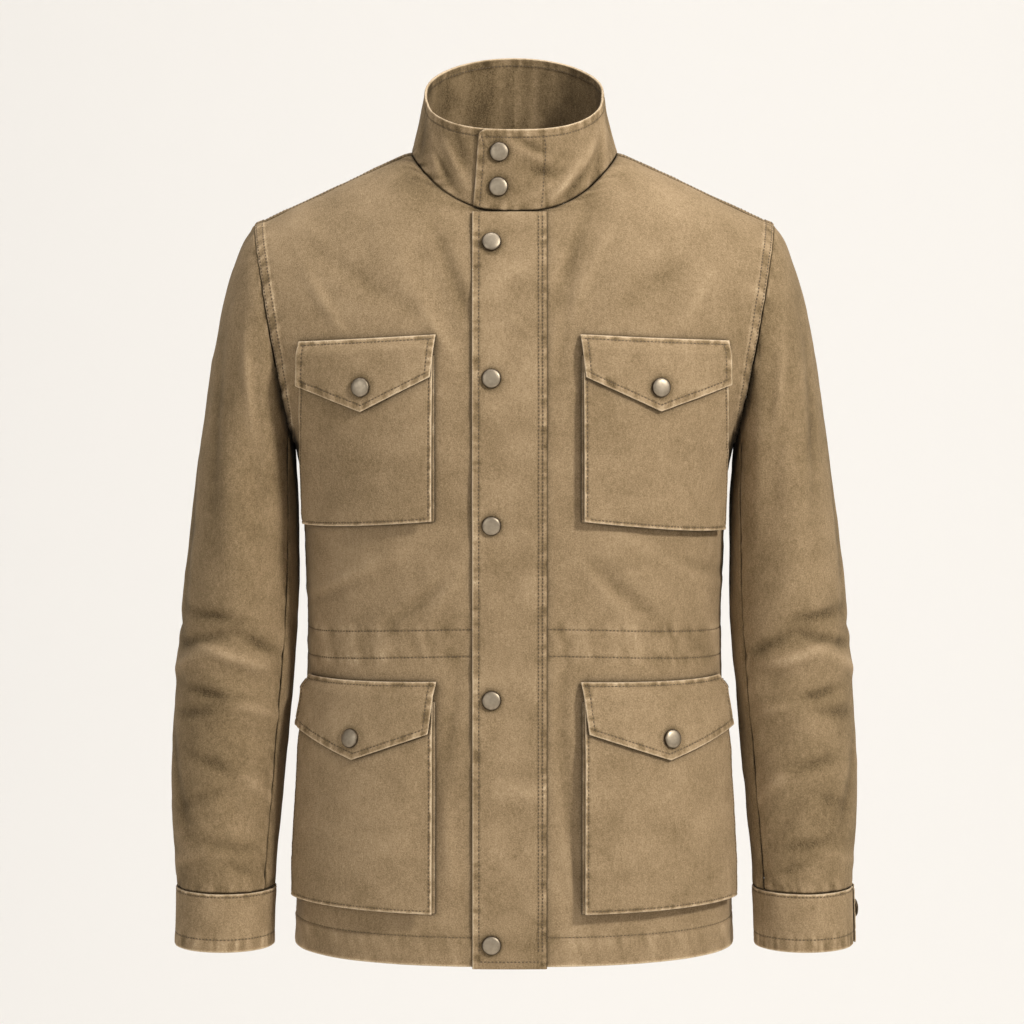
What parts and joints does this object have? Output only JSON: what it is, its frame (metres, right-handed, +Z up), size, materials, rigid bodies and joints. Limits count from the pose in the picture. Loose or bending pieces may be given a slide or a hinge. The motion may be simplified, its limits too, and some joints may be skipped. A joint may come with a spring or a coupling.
{
  "type": "field jacket",
  "caption": "Hip-length cotton field jacket with a stand collar, a snapped fly front and flapped bellows pockets, hollow and filled out as worn.",
  "frame": {"origin": "midway between the two points where the shoulder seams meet the collar, which the wearer's shoulders hold up", "axes": "+Z up, -Y towards the front, +X towards the wearer's left"},
  "size_m": [0.6216, 0.272, 0.8007],
  "materials": {
    "shell_cloth": "washed cotton twill, matt",
    "snap_metal": "antiqued nickel, satin"
  },
  "bodies": {
    "root": {"front_left": "shell_cloth", "front_right": "shell_cloth", "back": "shell_cloth", "sleeve_upper_left": "shell_cloth", "sleeve_under_left": "shell_cloth", "cuff_left": "shell_cloth", "sleeve_upper_right": "shell_cloth", "sleeve_under_right": "shell_cloth", "cuff_right": "shell_cloth", "fly": "shell_cloth", "collar": "shell_cloth", "pocket_chest_right": "shell_cloth", "gusset_chest_right": "shell_cloth", "flap_chest_right": "shell_cloth", "pocket_chest_left": "shell_cloth", "gusset_chest_left": "shell_cloth", "flap_chest_left": "shell_cloth", "pocket_hip_right": "shell_cloth", "gusset_hip_right": "shell_cloth", "flap_hip_right": "shell_cloth", "pocket_hip_left": "shell_cloth", "gusset_hip_left": "shell_cloth", "flap_hip_left": "shell_cloth", "snap_fly_1": "snap_metal", "snap_fly_2": "snap_metal", "snap_fly_3": "snap_metal", "snap_fly_4": "snap_metal", "snap_fly_5": "snap_metal", "snap_collar_1": "snap_metal", "snap_collar_2": "snap_metal", "snap_chest_right": "snap_metal", "snap_chest_left": "snap_metal", "snap_hip_right": "snap_metal", "snap_hip_left": "snap_metal", "snap_cuff_left": "snap_metal", "snap_cuff_right": "snap_metal"}
  },
  "joints": []
}
